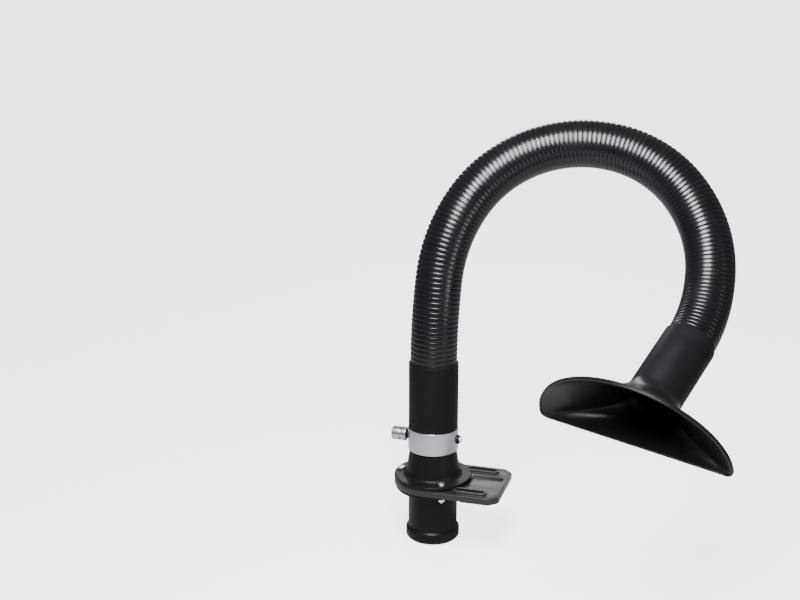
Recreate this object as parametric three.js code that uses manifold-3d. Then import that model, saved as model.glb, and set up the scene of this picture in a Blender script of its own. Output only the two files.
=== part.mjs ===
// Bench fume extraction arm: a slotted table bracket clamped between two pipe flanges, an aluminium
// shut-off ring with a flap, and a self-supporting ribbed hose that ends in a D-shaped hood.
// Millimetres and degrees. X runs out over the table, Y along its edge, Z up.
// The origin lies on the bracket's underside, midway between its two slots.
import * as THREE from "three";
import Module from "manifold-3d";

const solids = await Module();
solids.setup();

// Clearance round pieces that slide or screw together, the film between faces that are clamped
// together, and the number of flats that stand for a circle
const FIT_GAP = 0.3;
const FACE_GAP = 0.1;
const ROUND_STEPS = 36;
const SMALL_STEPS = 16;

// Ribbed hose. Each stretch is one arc, with its bend and its sideways bend in degrees, and the hose
// flexes at the middle of each. It runs straight on into the cuffs at both ends.
const HOSE_OD = 56.4;
const RIB_DEPTH = 2.2;
const HOSE_WALL = 2;
const HOSE_TURN = -10.5;
const STRETCH_LENGTH = 99.9;
const STRETCH_BENDS = [
  [-0.6, 15.1],
  [23.8, 16.8],
  [33.6, 11.9],
  [36, 7.1],
  [41.3, 5.3],
  [36.6, -2.4],
  [26.7, -13.9],
];
const RIBS_PER_STRETCH = 18;
const FLEX_RIBS = 8;
const RIBS_PER_BORE_RING = 5;
const HOSE_SIDES = 10;

// Rubber cuffs: a thin wall round the hose and a thicker one round the plug that slides in
const CUFF_HOSE_WALL = 1.5;
const CUFF_PLUG_WALL = 2.7;
const CUFF_EDGE = 1;
const BASE_CUFF_LENGTH = 82;
const END_CUFF_LENGTH = 85;

// Plugs of the shut-off ring and the hood, each with a seal ring in a groove
const PLUG_WALL = 2.5;
const RING_PLUG_LENGTH = 22;
const HOOD_PLUG_LENGTH = 40;
const SEAL_GROOVE_DEPTH = 1.4;
const SEAL_GROOVE_WIDTH = 3;

// Hood: a round neck that opens into a half-round mouth with a flat lower edge
const HOOD_ROLL = 201.7;
const HOOD_DEPTH = 56;
const HOOD_LIP = 4;
const HOOD_WALL = 2.5;
const MOUTH_WIDTH = 223;
const MOUTH_HEIGHT = 92;
const MOUTH_DROP = 20.5;
const MOUTH_CORNER = 8;
const HOOD_SIDES = 44;
const HOOD_STEPS = 6;
const HOOD_SLOPE_STEP = 0.02;

// Shut-off ring with a foot in the flange's neck
const RING_OVERHANG = 0.5;
const RING_HEIGHT = 28;
const RING_EDGE_BREAK = 0.8;
const RING_FOOT_WALL = 1.5;
const RING_FOOT_LENGTH = 16;

// Flap on a shaft across the ring, with its bushes, screws and knob
const SHAFT_DIAMETER = 6;
const BUSH_WALL = 2.2;
const BUSH_OUT = 2.5;
const FLAP_GAP = 0.7;
const FLAP_THICKNESS = 1.5;
const FLAP_SCREW_SPACING = 20;
const FLAP_SCREW_DIAMETER = 2.5;
const FLAP_SCREW_HEAD_OD = 4.5;
const FLAP_SCREW_HEAD_HEIGHT = 1.4;
const FLAP_SCREW_REACH = 3;
const KNOB_OD = 17;
const KNOB_LENGTH = 18;
const KNOB_END_WALL = 5;
const KNOB_EDGE = 1;
const KNOB_GROOVE_START = 6;
const KNOB_GROOVE_DEPTH = 1;
const KNOB_GROOVE_WIDTH = 1.6;
const GRUB_DIAMETER = 3;
const RETAINER_HEAD_OD = 8;
const RETAINER_HEAD_HEIGHT = 2;
const RETAINER_DIAMETER = 3;
const RETAINER_DEPTH = 7;

// Upper flange: a disc on the plate, a tapered neck and a collar in the plate's hole
const NECK_HEIGHT = 33;
const NECK_WALL = 2.2;
const NECK_TAPER = 5;
const FLANGE_LEDGE = 14;
const FLANGE_THICKNESS = 5;
const FLANGE_EDGE_BREAK = 0.8;
const COLLAR_WALL = 4.2;
const COLLAR_SHORT = 1;

// Lower flange with the outlet pipe
const LOWER_FLANGE_SETBACK = 2;
const LOWER_FLANGE_THICKNESS = 5;
const OUTLET_BORE = 54;
const OUTLET_WALL = 3;
const OUTLET_LENGTH = 66;
const BEAD_HEIGHT = 3;
const BEAD_LENGTH = 16;

// Clamp screws through both flanges and the plate
const SCREW_ANGLES = [60, 180, 300];
const SCREW_DIAMETER = 4;
const SCREW_HEAD_OD = 8.5;
const SCREW_HEAD_HEIGHT = 3.2;
const SCREW_HEAD_ROUNDING = 1;
const SCREW_SOCKET = 3;
const SCREW_SOCKET_DEPTH = 1.8;
const SCREW_TAIL = 2;
const NUT_FLATS = 7;
const NUT_HEIGHT = 3.2;

// Bracket plate: round the pipe, then a tongue out over the table with a pad that lies on it
const PLATE_THICKNESS = 8;
const PLATE_PAD = 1;
const PLATE_PAD_SETBACK = 1;
const PLATE_TONGUE = 43.5;
const PLATE_CORNER = 10;
const PLATE_EDGE_BREAK = 0.8;
const SLOT_LENGTH = 37;
const SLOT_WIDTH = 8;
const SLOT_END_WALL = 18;
const SLOT_EDGE_WALL = 9.5;
const SLOT_RIM_WIDTH = 3;
const SLOT_RIM_HEIGHT = 2.5;
const WEB_SIDE_WALL = 9;
const WEB_END_WALL = 6;
const WEB_DEPTH = 2.5;

// Diameters that follow from one another, from the hose inwards and then down to the plate
const cuffOd = HOSE_OD + 2 * (FIT_GAP + CUFF_HOSE_WALL);
const plugOd = cuffOd - 2 * (CUFF_PLUG_WALL + FIT_GAP);
const airBore = plugOd - 2 * PLUG_WALL;
const ringOd = cuffOd + 2 * RING_OVERHANG;
const footOd = airBore + 2 * RING_FOOT_WALL;
const neckTopOd = footOd + 2 * (FIT_GAP + NECK_WALL);
const neckBaseOd = neckTopOd + 2 * NECK_TAPER;
const flangeOd = neckBaseOd + 2 * FLANGE_LEDGE;
const lowerFlangeOd = flangeOd - 2 * LOWER_FLANGE_SETBACK;
const outletOd = OUTLET_BORE + 2 * OUTLET_WALL;
const collarOd = airBore + 2 * COLLAR_WALL;
const plateHole = collarOd + 2 * FIT_GAP;
const screwCircle = (neckBaseOd + flangeOd) / 2;
const screwHole = SCREW_DIAMETER + 2 * FIT_GAP;
const bushOd = SHAFT_DIAMETER + 2 * (FIT_GAP + BUSH_WALL);

// Heights of the stack, from the table top up
const flangeSeat = PLATE_THICKNESS + FACE_GAP;
const flangeTop = flangeSeat + FLANGE_THICKNESS;
const neckTop = flangeTop + NECK_HEIGHT;
const ringBottom = neckTop + FACE_GAP;
const ringTop = ringBottom + RING_HEIGHT;
const cuffBottom = ringTop + FIT_GAP;
const hoseStart = cuffBottom + BASE_CUFF_LENGTH;
const lowerFlangeTop = PLATE_PAD - FACE_GAP;
const lowerFlangeBottom = lowerFlangeTop - LOWER_FLANGE_THICKNESS;

// Lengths along the hose
const ribPitch = STRETCH_LENGTH / RIBS_PER_STRETCH;
const hoseLength = STRETCH_BENDS.length * STRETCH_LENGTH;
const gripRibs = (cuff, plug) => Math.floor((cuff - plug - FIT_GAP) / ribPitch);
const baseGrip = gripRibs(BASE_CUFF_LENGTH, RING_PLUG_LENGTH) * ribPitch;
const endGrip = gripRibs(END_CUFF_LENGTH, HOOD_PLUG_LENGTH) * ribPitch;

// Places across the bracket plate, measured from the pipe
const plateHalf = flangeOd / 2;
const plateEnd = plateHalf + PLATE_TONGUE;
const slotFar = plateEnd - SLOT_END_WALL - SLOT_WIDTH / 2;
const slotNear = slotFar - SLOT_LENGTH + SLOT_WIDTH;
const slotAcross = plateHalf - SLOT_EDGE_WALL - SLOT_WIDTH / 2;
const webHalf = slotAcross - SLOT_WIDTH / 2 - SLOT_RIM_WIDTH - WEB_SIDE_WALL;
const pipeToOrigin = (slotNear + slotFar) / 2;

// Finishes
const finish = (color, roughness, metalness) =>
  new THREE.MeshStandardMaterial({ color, roughness, metalness });
const blackCasting = finish(0x2a2b2e, 0.55, 0.1);
const blackPlastic = finish(0x17181a, 0.45, 0);
const satinAluminium = finish(0xb9bcc0, 0.35, 0.9);
const zincSteel = finish(0xa7aaae, 0.3, 0.95);
const blackRubber = finish(0x1d1d1f, 0.8, 0);
const hosePlastic = finish(0x131315, 0.35, 0);

// Groups: the pipe's axis, the flap shaft across it with its length along Z, and the far end of the hose
const part = new THREE.Group();
const pipe = new THREE.Group();
pipe.position.x = -pipeToOrigin;
part.add(pipe);
const shaft = new THREE.Group();
shaft.position.z = ringBottom + RING_HEIGHT / 2;
shaft.rotation.y = Math.PI / 2;
pipe.add(shaft);
const hoseEnd = new THREE.Group();
pipe.add(hoseEnd);

// A closed geometry as a solid that can be joined and cut
function solidFrom(geometry) {
  const loose = geometry.index ? geometry.toNonIndexed() : geometry;
  const places = loose.getAttribute("position");
  const numbers = new Map();
  const corners = [];
  const triangles = [];
  for (let i = 0; i < places.count; i++) {
    const corner = [places.getX(i), places.getY(i), places.getZ(i)];
    const key = corner.map((value) => Math.round(value * 1e4)).join();
    if (!numbers.has(key)) {
      numbers.set(key, corners.length / 3);
      corners.push(...corner);
    }
    triangles.push(numbers.get(key));
  }
  const kept = [];
  for (let i = 0; i < triangles.length; i += 3) {
    const [a, b, c] = triangles.slice(i, i + 3);
    if (a !== b && b !== c && a !== c) kept.push(a, b, c);
  }
  return new solids.Manifold(
    new solids.Mesh({
      numProp: 3,
      vertProperties: new Float32Array(corners),
      triVerts: new Uint32Array(kept),
    }),
  );
}

// A solid as a geometry that a mesh can show
function geometryFrom(solid) {
  const made = solid.getMesh();
  const geometry = new THREE.BufferGeometry();
  geometry.setAttribute("position", new THREE.BufferAttribute(made.vertProperties, 3));
  geometry.setIndex(new THREE.BufferAttribute(made.triVerts, 1));
  geometry.computeVertexNormals();
  return geometry;
}

function addPiece(group, name, shape, material) {
  const geometry = shape.isBufferGeometry ? shape : geometryFrom(shape);
  const mesh = new THREE.Mesh(geometry, material);
  mesh.name = name;
  group.add(mesh);
  return mesh;
}

// A closed profile of [radius, height] points, listed outside upwards, turned about Z
function turned(profile, steps = ROUND_STEPS) {
  const points = [...profile, profile[0]].map(([r, z]) => new THREE.Vector2(r, z));
  const geometry = new THREE.LatheGeometry(points, steps);
  geometry.rotateX(Math.PI / 2);
  return geometry;
}

function cylinder(diameter, bottom, top, steps = SMALL_STEPS) {
  const geometry = new THREE.CylinderGeometry(diameter / 2, diameter / 2, top - bottom, steps);
  geometry.rotateX(Math.PI / 2);
  geometry.translate(0, 0, (top + bottom) / 2);
  return geometry;
}

// A flat outline raised along Z
function raised(outline, bottom, top) {
  const geometry = new THREE.ExtrudeGeometry(outline, {
    depth: top - bottom,
    bevelEnabled: false,
    curveSegments: SMALL_STEPS,
  });
  geometry.translate(0, 0, bottom);
  return geometry;
}

// Bracket plate: round by the pipe, with two rimmed slots and a sunk web in the tongue
function plateOutline(inset) {
  const half = plateHalf - inset;
  const end = plateEnd - inset;
  const outline = new THREE.Shape();
  outline.absarc(0, 0, half, Math.PI / 2, (3 * Math.PI) / 2, false);
  outline.lineTo(end - PLATE_CORNER, -half);
  outline.lineTo(end, -half + PLATE_CORNER);
  outline.lineTo(end, half - PLATE_CORNER);
  outline.lineTo(end - PLATE_CORNER, half);
  outline.closePath();
  return outline;
}

function slotOutline(growth, across) {
  const half = SLOT_WIDTH / 2 + growth;
  const outline = new THREE.Shape();
  outline.absarc(slotNear, across, half, Math.PI / 2, (3 * Math.PI) / 2, false);
  outline.absarc(slotFar, across, half, -Math.PI / 2, Math.PI / 2, false);
  outline.closePath();
  return outline;
}

function webOutline() {
  const end = plateEnd - WEB_END_WALL;
  const corners = [
    [plateHalf, -webHalf],
    [end, -webHalf],
    [end, webHalf],
    [plateHalf, webHalf],
  ];
  return new THREE.Shape(corners.map(([x, y]) => new THREE.Vector2(x, y)));
}

function buildBracket() {
  const shoulder = PLATE_THICKNESS - PLATE_EDGE_BREAK;
  const rimTop = PLATE_THICKNESS + SLOT_RIM_HEIGHT;
  const above = rimTop + FIT_GAP;
  const flangeRoom = solidFrom(cylinder(flangeOd + 2 * FIT_GAP, PLATE_THICKNESS, above, ROUND_STEPS));
  let plate = solidFrom(raised(plateOutline(0), 0, shoulder));
  plate = plate.add(solidFrom(raised(plateOutline(PLATE_EDGE_BREAK), shoulder / 2, PLATE_THICKNESS)));
  plate = plate.subtract(solidFrom(raised(webOutline(), PLATE_THICKNESS - WEB_DEPTH, above)));
  for (const across of [-slotAcross, slotAcross]) {
    const rim = solidFrom(raised(slotOutline(SLOT_RIM_WIDTH, across), PLATE_THICKNESS / 2, rimTop));
    plate = plate.add(rim.subtract(flangeRoom));
    plate = plate.subtract(solidFrom(raised(slotOutline(0, across), -PLATE_THICKNESS, above)));
  }
  plate = plate.subtract(solidFrom(cylinder(plateHole, -PLATE_THICKNESS, above, ROUND_STEPS)));
  const flangeSide = new THREE.BoxGeometry(2 * plateEnd, 2 * flangeOd, 2 * PLATE_PAD);
  flangeSide.translate(plateHalf - PLATE_PAD_SETBACK - plateEnd, 0, 0);
  plate = plate.subtract(solidFrom(flangeSide));
  addPiece(pipe, "bracket_plate", withScrewHoles(plate), blackCasting);
}

function screwPlaces() {
  return SCREW_ANGLES.map((angle) => {
    const turn = THREE.MathUtils.degToRad(angle);
    return [(screwCircle / 2) * Math.cos(turn), (screwCircle / 2) * Math.sin(turn)];
  });
}

// Clearance holes for the clamp screws, through whatever is clamped
function withScrewHoles(solid) {
  let drilled = solid;
  for (const [x, y] of screwPlaces()) {
    const hole = cylinder(screwHole, 2 * lowerFlangeBottom, 2 * flangeTop);
    drilled = drilled.subtract(solidFrom(hole.translate(x, y, 0)));
  }
  return drilled;
}

function buildUpperFlange() {
  const socketFloor = neckTop - RING_FOOT_LENGTH;
  const collarBottom = PLATE_PAD + COLLAR_SHORT;
  const profile = [
    [airBore / 2, collarBottom],
    [collarOd / 2, collarBottom],
    [collarOd / 2, flangeSeat],
    [flangeOd / 2, flangeSeat],
    [flangeOd / 2, flangeTop - FLANGE_EDGE_BREAK],
    [flangeOd / 2 - FLANGE_EDGE_BREAK, flangeTop],
    [neckBaseOd / 2, flangeTop],
    [neckTopOd / 2, neckTop],
    [footOd / 2 + FIT_GAP, neckTop],
    [footOd / 2 + FIT_GAP, socketFloor],
    [airBore / 2, socketFloor],
  ];
  addPiece(pipe, "upper_flange", withScrewHoles(solidFrom(turned(profile))), blackPlastic);
}

function buildHoseSpigot() {
  const bottom = lowerFlangeBottom - OUTLET_LENGTH;
  const beadTop = bottom + BEAD_LENGTH;
  const beadRadius = outletOd / 2 + BEAD_HEIGHT;
  const profile = [
    [OUTLET_BORE / 2, bottom],
    [outletOd / 2, bottom],
    [beadRadius, bottom + BEAD_HEIGHT],
    [beadRadius, beadTop - BEAD_HEIGHT],
    [outletOd / 2, beadTop],
    [outletOd / 2, lowerFlangeBottom],
    [lowerFlangeOd / 2 - FLANGE_EDGE_BREAK, lowerFlangeBottom],
    [lowerFlangeOd / 2, lowerFlangeBottom + FLANGE_EDGE_BREAK],
    [lowerFlangeOd / 2, lowerFlangeTop],
    [OUTLET_BORE / 2, lowerFlangeTop],
  ];
  addPiece(pipe, "hose_spigot", withScrewHoles(solidFrom(turned(profile))), blackPlastic);
}

// Clamp screws with socket heads, each with its nut under the lower flange
function hexagon(flats) {
  const corners = Array.from({ length: 6 }, (_, index) => {
    const turn = (index * Math.PI) / 3;
    return new THREE.Vector2(Math.cos(turn), Math.sin(turn)).multiplyScalar(flats / Math.sqrt(3));
  });
  return new THREE.Shape(corners);
}

function buildFlangeScrews() {
  const seat = flangeTop + FACE_GAP;
  const headTop = seat + SCREW_HEAD_HEIGHT;
  const nutTop = lowerFlangeBottom - FACE_GAP;
  const nutBottom = nutTop - NUT_HEIGHT;
  const profile = [
    [0, nutBottom - SCREW_TAIL],
    [SCREW_DIAMETER / 2, nutBottom - SCREW_TAIL],
    [SCREW_DIAMETER / 2, seat],
    [SCREW_HEAD_OD / 2, seat],
    [SCREW_HEAD_OD / 2, headTop - SCREW_HEAD_ROUNDING],
    [SCREW_HEAD_OD / 2 - SCREW_HEAD_ROUNDING, headTop],
    [0, headTop],
  ];
  const socket = raised(hexagon(SCREW_SOCKET), headTop - SCREW_SOCKET_DEPTH, headTop + SCREW_SOCKET_DEPTH);
  const screw = solidFrom(turned(profile, SMALL_STEPS)).subtract(solidFrom(socket));
  const thread = cylinder(screwHole, nutBottom - NUT_HEIGHT, nutTop + NUT_HEIGHT);
  const nut = solidFrom(raised(hexagon(NUT_FLATS), nutBottom, nutTop)).subtract(solidFrom(thread));
  screwPlaces().forEach(([x, y], index) => {
    const number = index + 1;
    addPiece(pipe, "flange_screw_" + number, screw, zincSteel).position.set(x, y, 0);
    addPiece(pipe, "flange_nut_" + number, nut, zincSteel).position.set(x, y, 0);
  });
}

// A seal groove's two edges, in the middle of a plug, and the ring that lies in it
function sealGroove(plugStart, plugEnd) {
  const middle = (plugStart + plugEnd) / 2;
  return [middle - SEAL_GROOVE_WIDTH / 2, middle + SEAL_GROOVE_WIDTH / 2];
}

function sealRing([low, high]) {
  const inner = plugOd / 2 - SEAL_GROOVE_DEPTH + FIT_GAP;
  return turned([
    [inner, low + FIT_GAP],
    [plugOd / 2, low + FIT_GAP],
    [plugOd / 2, high - FIT_GAP],
    [inner, high - FIT_GAP],
  ]);
}

function buildShutOffRing() {
  const foot = ringBottom - RING_FOOT_LENGTH + FIT_GAP;
  const plugTop = ringTop + RING_PLUG_LENGTH;
  const groove = sealGroove(ringTop, plugTop);
  const profile = [
    [airBore / 2, foot],
    [footOd / 2, foot],
    [footOd / 2, ringBottom],
    [ringOd / 2 - RING_EDGE_BREAK, ringBottom],
    [ringOd / 2, ringBottom + RING_EDGE_BREAK],
    [ringOd / 2, ringTop - RING_EDGE_BREAK],
    [ringOd / 2 - RING_EDGE_BREAK, ringTop],
    [plugOd / 2, ringTop],
    [plugOd / 2, groove[0]],
    [plugOd / 2 - SEAL_GROOVE_DEPTH, groove[0]],
    [plugOd / 2 - SEAL_GROOVE_DEPTH, groove[1]],
    [plugOd / 2, groove[1]],
    [plugOd / 2, plugTop],
    [airBore / 2, plugTop],
  ];
  const bushHole = cylinder(bushOd + 2 * FIT_GAP, -ringOd, ringOd);
  bushHole.rotateY(Math.PI / 2).translate(0, 0, shaft.position.z);
  const ring = solidFrom(turned(profile)).subtract(solidFrom(bushHole));
  addPiece(pipe, "shut_off_ring", ring, satinAluminium);
  addPiece(pipe, "base_seal_ring", sealRing(groove), blackRubber);
}

// Along the shaft, measured from the pipe's axis
const bushInner = airBore / 2 + FIT_GAP;
const bushOuter = ringOd / 2 + BUSH_OUT;
const knobStart = bushOuter + FIT_GAP;
const knobHole = KNOB_LENGTH - KNOB_END_WALL;

function buildBushes() {
  const profile = [
    [SHAFT_DIAMETER / 2 + FIT_GAP, bushInner],
    [bushOd / 2, bushInner],
    [bushOd / 2, bushOuter],
    [SHAFT_DIAMETER / 2 + FIT_GAP, bushOuter],
  ];
  const bush = turned(profile, SMALL_STEPS);
  addPiece(shaft, "shaft_bush_left", bush, blackPlastic).rotation.x = Math.PI;
  addPiece(shaft, "shaft_bush_right", bush, blackPlastic);
}

// The flap stands edge-on to the air at rest, held by two screws on a flat of the shaft
const flapScrewPlaces = [-FLAP_SCREW_SPACING / 2, FLAP_SCREW_SPACING / 2];
const flapScrewHole = FLAP_SCREW_DIAMETER + 2 * FIT_GAP;

function withFlapScrewHoles(solid) {
  let drilled = solid;
  for (const place of flapScrewPlaces) {
    const hole = cylinder(flapScrewHole, -SHAFT_DIAMETER, SHAFT_DIAMETER);
    drilled = drilled.subtract(solidFrom(hole.rotateX(Math.PI / 2).translate(0, 0, place)));
  }
  return drilled;
}

function buildFlapShaft() {
  const left = FIT_GAP - knobStart - knobHole;
  const flatFace = -FLAP_THICKNESS / 2 - FACE_GAP;
  const flat = new THREE.BoxGeometry(2 * SHAFT_DIAMETER, SHAFT_DIAMETER, 2 * (bushInner - FIT_GAP));
  flat.translate(0, flatFace + SHAFT_DIAMETER / 2, 0);
  const retainerHole = cylinder(RETAINER_DIAMETER + 2 * FIT_GAP, bushOuter - RETAINER_DEPTH, bushOuter + FIT_GAP);
  let rod = solidFrom(cylinder(SHAFT_DIAMETER, left, bushOuter));
  rod = rod.subtract(solidFrom(flat));
  rod = rod.subtract(solidFrom(retainerHole));
  addPiece(shaft, "flap_shaft", withFlapScrewHoles(rod), zincSteel);
}

function buildFlap() {
  const disc = cylinder(airBore - 2 * FLAP_GAP, -FLAP_THICKNESS / 2, FLAP_THICKNESS / 2, ROUND_STEPS);
  const flap = withFlapScrewHoles(solidFrom(disc.rotateX(-Math.PI / 2)));
  addPiece(shaft, "flap_disc", flap, zincSteel);
  const seat = FLAP_THICKNESS / 2 + FACE_GAP;
  const profile = [
    [0, seat - FLAP_SCREW_REACH],
    [FLAP_SCREW_DIAMETER / 2, seat - FLAP_SCREW_REACH],
    [FLAP_SCREW_DIAMETER / 2, seat],
    [FLAP_SCREW_HEAD_OD / 2, seat],
    [FLAP_SCREW_HEAD_OD / 2, seat + FLAP_SCREW_HEAD_HEIGHT],
    [0, seat + FLAP_SCREW_HEAD_HEIGHT],
  ];
  flapScrewPlaces.forEach((place, index) => {
    const screw = addPiece(shaft, "flap_screw_" + (index + 1), turned(profile, SMALL_STEPS), zincSteel);
    screw.rotation.x = -Math.PI / 2;
    screw.position.z = place;
  });
}

function buildKnob() {
  const shaftRoom = SHAFT_DIAMETER / 2 + FIT_GAP;
  const radius = KNOB_OD / 2;
  const grooveEnd = KNOB_GROOVE_START + KNOB_GROOVE_WIDTH;
  const profile = [
    [shaftRoom, 0],
    [radius - KNOB_EDGE, 0],
    [radius, KNOB_EDGE],
    [radius, KNOB_GROOVE_START],
    [radius - KNOB_GROOVE_DEPTH, KNOB_GROOVE_START],
    [radius - KNOB_GROOVE_DEPTH, grooveEnd],
    [radius, grooveEnd],
    [radius, KNOB_LENGTH - KNOB_EDGE],
    [radius - KNOB_EDGE, KNOB_LENGTH],
    [0, KNOB_LENGTH],
    [0, knobHole],
    [shaftRoom, knobHole],
  ];
  const grubPlace = (grooveEnd + knobHole) / 2;
  const grubRoom = cylinder(GRUB_DIAMETER + 2 * FIT_GAP, 0, KNOB_OD);
  grubRoom.rotateY(Math.PI / 2).translate(0, 0, grubPlace);
  const body = solidFrom(turned(profile, 2 * SMALL_STEPS)).subtract(solidFrom(grubRoom));
  const grub = cylinder(GRUB_DIAMETER, shaftRoom, radius - KNOB_EDGE);
  grub.rotateY(Math.PI / 2).translate(0, 0, grubPlace);
  const knob = new THREE.Group();
  knob.position.z = -knobStart;
  knob.rotation.x = Math.PI;
  shaft.add(knob);
  addPiece(knob, "flap_knob", body, satinAluminium);
  addPiece(knob, "knob_grub_screw", grub, blackRubber);
}

function buildShaftRetainer() {
  const seat = bushOuter + FIT_GAP;
  const profile = [
    [0, seat - RETAINER_DEPTH],
    [RETAINER_DIAMETER / 2, seat - RETAINER_DEPTH],
    [RETAINER_DIAMETER / 2, seat],
    [RETAINER_HEAD_OD / 2, seat],
    [RETAINER_HEAD_OD / 2, seat + RETAINER_HEAD_HEIGHT / 2],
    [RETAINER_HEAD_OD / 2 - RETAINER_HEAD_HEIGHT / 2, seat + RETAINER_HEAD_HEIGHT],
    [0, seat + RETAINER_HEAD_HEIGHT],
  ];
  addPiece(shaft, "shaft_retainer", turned(profile, SMALL_STEPS), zincSteel);
}

// The way of the hose: its place and turn at a length measured from the base cuff's upper end.
// Before the first stretch and after the last it runs straight on.
function straightOn(frame, length) {
  const step = new THREE.Vector3(0, 0, length).applyQuaternion(frame.turn);
  return { place: step.add(frame.place), turn: frame.turn.clone() };
}

function bentOn(frame, bend, side, share) {
  const length = STRETCH_LENGTH * share;
  const angle = THREE.MathUtils.degToRad(Math.hypot(bend, side)) * share;
  if (angle === 0) return straightOn(frame, length);
  const toward = new THREE.Vector3(bend, side, 0).normalize();
  const axis = new THREE.Vector3(-toward.y, toward.x, 0);
  const radius = length / angle;
  const step = toward.multiplyScalar(radius * (1 - Math.cos(angle)));
  step.z = radius * Math.sin(angle);
  return {
    place: step.applyQuaternion(frame.turn).add(frame.place),
    turn: frame.turn.clone().multiply(new THREE.Quaternion().setFromAxisAngle(axis, angle)),
  };
}

function hoseFrame(length) {
  const up = new THREE.Vector3(0, 0, 1);
  const turn = new THREE.Quaternion().setFromAxisAngle(up, THREE.MathUtils.degToRad(HOSE_TURN));
  let frame = { place: new THREE.Vector3(0, 0, hoseStart), turn };
  if (length <= 0) return straightOn(frame, length);
  let left = length;
  for (const [bend, side] of STRETCH_BENDS) {
    const share = Math.min(left / STRETCH_LENGTH, 1);
    frame = bentOn(frame, bend, side, share);
    left -= share * STRETCH_LENGTH;
    if (left <= 0) return frame;
  }
  return straightOn(frame, left);
}

// A ring of points square to the hose's way
function hoseRing(length, radius) {
  const { place, turn } = hoseFrame(length);
  return Array.from({ length: HOSE_SIDES }, (_, index) => {
    const angle = (2 * Math.PI * index) / HOSE_SIDES;
    const point = new THREE.Vector3(radius * Math.cos(angle), radius * Math.sin(angle), 0);
    return point.applyQuaternion(turn).add(place);
  });
}

// A closed skin through rings of points, each joined to the next and the last to the first
function ringSkin(rings) {
  const sides = rings[0].length;
  const places = rings.flat().flatMap((point) => [point.x, point.y, point.z]);
  const triangles = [];
  rings.forEach((_, ring) => {
    const here = ring * sides;
    const next = ((ring + 1) % rings.length) * sides;
    for (let index = 0; index < sides; index++) {
      const after = (index + 1) % sides;
      triangles.push(here + index, here + after, next + after);
      triangles.push(here + index, next + after, next + index);
    }
  });
  const geometry = new THREE.BufferGeometry();
  geometry.setAttribute("position", new THREE.Float32BufferAttribute(places, 3));
  geometry.setIndex(triangles);
  geometry.computeVertexNormals();
  return geometry;
}

// One length of ribbed hose with its bore
function ribbedHose(start, ribs) {
  const crest = HOSE_OD / 2;
  const valley = crest - RIB_DEPTH;
  const bore = valley - HOSE_WALL;
  const end = start + ribs * ribPitch;
  const within = (length) => THREE.MathUtils.clamp(length, start + FACE_GAP, end - FACE_GAP);
  const rings = [];
  for (let rib = 0; rib < ribs; rib++) {
    rings.push(hoseRing(within(start + rib * ribPitch), valley));
    rings.push(hoseRing(start + (rib + 0.5) * ribPitch, crest));
  }
  rings.push(hoseRing(within(end), valley));
  const bands = Math.ceil(ribs / RIBS_PER_BORE_RING);
  for (let band = bands; band >= 0; band--) {
    rings.push(hoseRing(within(start + (band / bands) * (end - start)), bore));
  }
  return ringSkin(rings);
}

// Firm sections of hose, with a flexing length between each two in the middle of a stretch
function buildHose() {
  const flexLength = FLEX_RIBS * ribPitch;
  const flexStart = (stretch) => (stretch + 0.5) * STRETCH_LENGTH - flexLength / 2;
  const last = STRETCH_BENDS.length;
  for (let section = 0; section <= last; section++) {
    const start = section === 0 ? -baseGrip : flexStart(section - 1) + flexLength;
    const end = section === last ? hoseLength + endGrip : flexStart(section);
    const ribs = Math.round((end - start) / ribPitch);
    addPiece(pipe, "hose_section_" + section, ribbedHose(start, ribs), hosePlastic);
  }
  for (let stretch = 0; stretch < last; stretch++) {
    addPiece(pipe, "hose_flex_" + (stretch + 1), ribbedHose(flexStart(stretch), FLEX_RIBS), hosePlastic);
  }
}

// A cuff made along Z from its plug end, with a narrow bore for the plug and a wider one for the hose
function rubberCuff(length, grip) {
  const plugBore = plugOd / 2 + FIT_GAP;
  const hoseBore = HOSE_OD / 2 + FIT_GAP;
  const step = length - grip - FIT_GAP;
  return turned([
    [plugBore, 0],
    [cuffOd / 2 - CUFF_EDGE, 0],
    [cuffOd / 2, CUFF_EDGE],
    [cuffOd / 2, length - CUFF_EDGE],
    [cuffOd / 2 - CUFF_EDGE, length],
    [hoseBore, length],
    [hoseBore, step],
    [plugBore, step],
  ]);
}

function buildCuffs() {
  const base = rubberCuff(BASE_CUFF_LENGTH, baseGrip);
  addPiece(pipe, "base_cuff", base, blackRubber).position.z = cuffBottom;
  const end = rubberCuff(END_CUFF_LENGTH, endGrip);
  addPiece(hoseEnd, "end_cuff", end, blackRubber).rotation.x = Math.PI;
}

// Points evenly spread round the hood's mouth, from the middle of its flat edge
function mouthPoints(inset) {
  const half = MOUTH_WIDTH / 2 - inset;
  const corner = MOUTH_CORNER - inset;
  const floor = inset - MOUTH_DROP;
  const shoulder = floor + corner;
  const crown = MOUTH_HEIGHT - MOUTH_DROP - inset - shoulder;
  const outline = new THREE.Path();
  outline.moveTo(0, floor);
  outline.lineTo(half - corner, floor);
  outline.absarc(half - corner, shoulder, corner, -Math.PI / 2, 0, false);
  outline.absellipse(0, shoulder, half, crown, 0, Math.PI, false);
  outline.absarc(corner - half, shoulder, corner, Math.PI, (3 * Math.PI) / 2, false);
  outline.lineTo(0, floor);
  return outline.getSpacedPoints(HOOD_SIDES).slice(0, HOOD_SIDES);
}

function circlePoints(diameter) {
  return Array.from({ length: HOOD_SIDES }, (_, index) => {
    const angle = (2 * Math.PI * index) / HOOD_SIDES - Math.PI / 2;
    return new THREE.Vector2(Math.cos(angle), Math.sin(angle)).multiplyScalar(diameter / 2);
  });
}

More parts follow.
